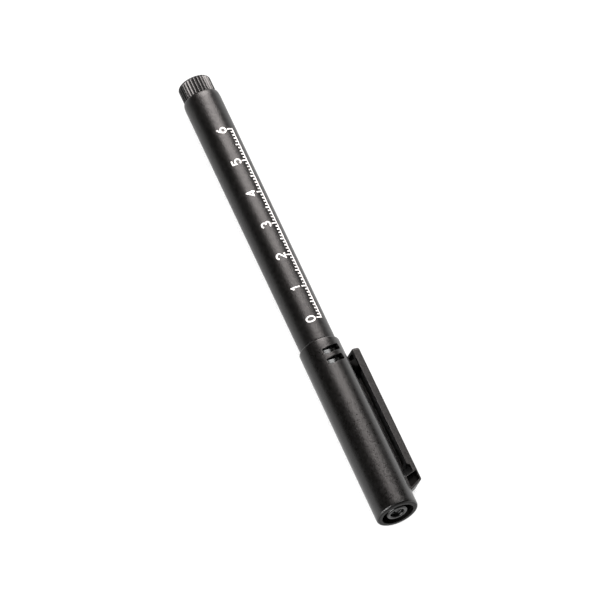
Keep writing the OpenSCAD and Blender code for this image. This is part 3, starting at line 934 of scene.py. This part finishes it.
def numeral(digit):
    """Line of a plain numeral in a box one wide and one high."""
    return np.concatenate({
        0: [arc((0.5, 0.5), (0.5, 0.5), 90, 450, 28)],
        1: [[(0.15, 0.76), (0.55, 1.0), (0.55, 0.0)]],
        2: [arc((0.5, 0.70), (0.48, 0.30), 165, -35, 14), [(0.02, 0.0), (1.0, 0.0)]],
        3: [arc((0.46, 0.75), (0.44, 0.25), 155, -90, 14), arc((0.46, 0.26), (0.52, 0.26), 75, -155, 16)],
        4: [[(0.76, 0.0), (0.76, 1.0), (0.0, 0.30), (1.0, 0.30)]],
        5: [[(0.92, 1.0), (0.14, 1.0), (0.10, 0.56)], arc((0.48, 0.32), (0.50, 0.32), 125, -145, 18)],
        6: [[(0.84, 1.0), (0.40, 0.80), (0.10, 0.52)], arc((0.5, 0.31), (0.48, 0.31), 165, -195, 26)],
    }[digit])


def make_print():
    """Base line with a tick each millimetre, longer ones each five and ten, and a numeral over each ten.

    It reads from the cap to the tail."""
    shell = Shell()
    print_stroke(shell, [(print_start - print_line / 2, print_base),
                         (print_start + print_length + print_line / 2, print_base)], print_line)
    for count in range(print_length + 1):
        reach = next(reach for step, reach in tick_reaches.items() if count % step == 0)
        station = print_start + count
        print_stroke(shell, [(station, print_base), (station, print_base - reach)], print_line)
    for digit in range(print_length // 10 + 1):
        box = (numeral(digit) - [0.5, 0.0]) * numeral_size
        place = np.array([print_start + 10 * digit, numeral_base])
        print_stroke(shell, place + box * [1, -1], numeral_line)
    return shell.piece("printed_scale", ink_print)


barrel_tube = make_barrel()
tail_knob = make_plug()
neck_section = make_section()
felt_nib = make_nib()
cap_tube = make_cap()
# Painted shade: the cap's end face takes the duller, less shiny finish.
second_finish(cap_tube, cap_matt_painted_shade, lambda points: points[:, 0] < cap_end + painted_shade_rim)
cap_inner_tube = make_liner()
spring_clip = make_clip()
# Painted shade: the clip's root pocket takes the duller, barely shiny finish.
second_finish(spring_clip, clip_matt_painted_shade, in_pocket)
grip_nub = make_nub()
printed_scale = make_print()

for piece, body, node, slot in ((barrel_tube, "barrel", "barrel", "satin_black"),
                                (tail_knob, "barrel", "tail_plug", "plug_black"),
                                (neck_section, "barrel", "front_section", "gloss_black"),
                                (felt_nib, "barrel", "nib", "nib_fibre"),
                                (cap_tube, "cap", "cap_shell", "satin_black"),
                                (cap_inner_tube, "cap", "cap_liner", "gloss_black")):
    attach(piece, body)
    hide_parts(node)

flexure = np.array([-flexure_half, flexure_half])
start, end = clip_place(np.zeros(2) - clip_plate / 2, np.zeros(2), flexure) * MM
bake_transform(spring_clip)
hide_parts("clip")
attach(grip_nub, "clip")
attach(printed_scale, "barrel")

for node, finish in (("ink_reservoir", ink_felt), ("reservoir_film", film)):
    frame["nodes"][node].data.materials[0] = finish


# Table, light and camera

def make_table():
    """A wide flat square of table under the marker."""
    reach = 4000.0
    side = np.linspace(-reach, reach, 9)
    x, y = np.meshgrid(side, side, indexing="ij")
    points = np.stack([x, y, np.full_like(x, floor_height / MM)], axis=-1)
    return Shell().grid(points).piece("table", table_glow_painted_shade())


make_table()

view_tilt = 24.0
view_roll = 100.0
image_lean = 64.6
pixels = 600
pixels_per_mm = 3.80
view_distance = 3000.0
marker_middle = ((plug_end + cap_end) / 2, 295.5, 298.5)


def view_frame():
    """Directions to the right of, up in and out of the picture.

    The camera lies the tilt beyond square to the marker, towards the cap. The roll is its height angle from
    the clip's side, so over 90 degrees it is past overhead. In the picture, the way to the cap runs to the
    right and the lean below the level."""
    tilt, roll, lean = np.radians([view_tilt, view_roll, image_lean])
    back = np.array([-math.sin(tilt), -math.cos(tilt) * math.cos(roll), math.cos(tilt) * math.sin(roll)])
    to_cap = (-AXIAL - math.sin(tilt) * back) / math.cos(tilt)
    beside = np.cross(back, to_cap)
    right = math.cos(lean) * to_cap + math.sin(lean) * beside
    up = -math.sin(lean) * to_cap + math.cos(lean) * beside
    return right, up, back


def make_camera():
    """Parallel view that looks at the point of the marker's plane in the picture's middle."""
    right, up, back = view_frame()
    station, column, row = marker_middle
    target = station * AXIAL + ((pixels / 2 - column) * right - (pixels / 2 - row) * up) / pixels_per_mm
    lens = bpy.data.cameras.new("parallel_view")
    lens.type = "ORTHO"
    lens.ortho_scale = pixels / pixels_per_mm * MM
    camera = bpy.data.objects.new("camera", lens)
    place = np.eye(4)
    place[:3, :3] = np.stack([right, up, back], axis=1)
    place[:3, 3] = (target + view_distance * back) * MM
    camera.matrix_world = Matrix(place.tolist())
    bpy.context.scene.collection.objects.link(camera)
    bpy.context.scene.camera = camera


def softbox(name, station, height, distance, size, radiance, turn=0.0, tint=(1, 1, 1)):
    """An oval light that faces the marker's axis squarely, at a height angle from the clip's side.

    Its station, distance and size along and across the marker are in metres, and it may be turned in its own
    plane. Its power is the radiance times pi times the oval's area."""
    towards = Vector((0, -math.cos(math.radians(height)), math.sin(math.radians(height))))
    place = Matrix.Translation(Vector((station, 0, 0)) + towards * distance)
    square = Matrix((Vector(AXIAL), towards.cross(Vector(AXIAL)), towards)).transposed().to_4x4()
    lamp = bpy.data.lights.new(name, "AREA")
    lamp.shape = "ELLIPSE"
    lamp.size, lamp.size_y = size
    lamp.energy = radiance * math.pi * math.pi / 4 * size[0] * size[1]
    lamp.color = tint
    made = bpy.data.objects.new(name, lamp)
    made.matrix_world = place @ square @ Matrix.Rotation(math.radians(turn), 4, "Z")
    made.visible_camera = False
    bpy.context.scene.collection.objects.link(made)


def make_sky(dark, pale, low, high):
    """A dark ceiling over a pale horizon, whose light fades between two heights (degrees).

    The pale light also fades out behind the tail, and by a share on the side away from the clip. The ground
    below the horizon is white."""
    tail_fade, side_fade, ground_fade = (0.55, 0.85), (0.0, 0.4), (-0.04, -0.01)
    side_loss, ground_light = 0.35, 1.1
    world = bpy.data.worlds.new("studio")
    world.use_nodes = True
    sky = Nodes(world.node_tree)
    place = sky.node("ShaderNodeTexCoord", output="Generated")
    behind, beside, height = (sky.node("ShaderNodeSeparateXYZ", {0: place}, output=axis) for axis in "XYZ")
    below = 1.0 - sky.step(height, math.sin(math.radians(low)), math.sin(math.radians(high)))
    past_tail = 1.0 - sky.step(behind, *tail_fade)
    far_side = 1.0 - side_loss * sky.step(beside, *side_fade)
    ground = 1.0 - sky.step(height, *ground_fade)
    light = dark + (pale - dark) * below * past_tail * far_side + ground_light * ground
    sky.feed(world.node_tree.nodes["Background"].inputs["Strength"], light)
    world.node_tree.nodes["Background"].inputs["Color"].default_value = grey(1.0, 0.02)
    bpy.context.scene.world = world


make_camera()
make_sky(dark=0.02, pale=0.75, low=1.0, high=16.0)
softbox("overhead", station=0.577, height=63.7, distance=0.55, size=(0.66, 0.77), radiance=14.6,
        turn=9.2, tint=(1.07, 1.0, 0.98))
softbox("over_cap", station=-0.045, height=60.0, distance=0.55, size=(0.10, 0.42), radiance=8.0)
softbox("kicker", station=-0.35, height=145.0, distance=0.50, size=(0.08, 0.62), radiance=44.0)
bpy.context.scene.view_settings.view_transform = "Standard"
